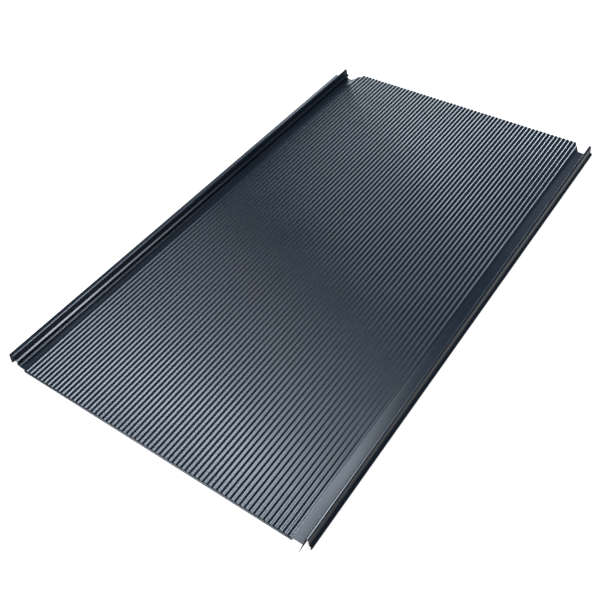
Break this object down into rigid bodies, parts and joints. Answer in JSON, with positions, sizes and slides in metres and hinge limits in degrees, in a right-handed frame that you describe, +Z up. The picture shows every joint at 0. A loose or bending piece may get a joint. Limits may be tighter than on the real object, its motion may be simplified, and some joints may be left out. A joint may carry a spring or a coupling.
{
  "type": "standing seam roof panel",
  "caption": "Ribbed anthracite roof panel in coated steel sheet, with a male seam and slotted fixing flange on one edge and a cap seam that snaps over the next one.",
  "frame": {"origin": "centre of the panel's outline seen from above, on the level of the folded hem's underside that it rests on", "axes": "+Y along the seams towards the lap tongue, +X across the ribs towards the cap seam, +Z up out of the weathered face"},
  "size_m": [0.5744, 0.9782, 0.0254],
  "materials": {
    "coated_steel": "satin anthracite coil coating"
  },
  "bodies": {
    "root": {"roof_panel": "coated_steel"}
  },
  "joints": []
}
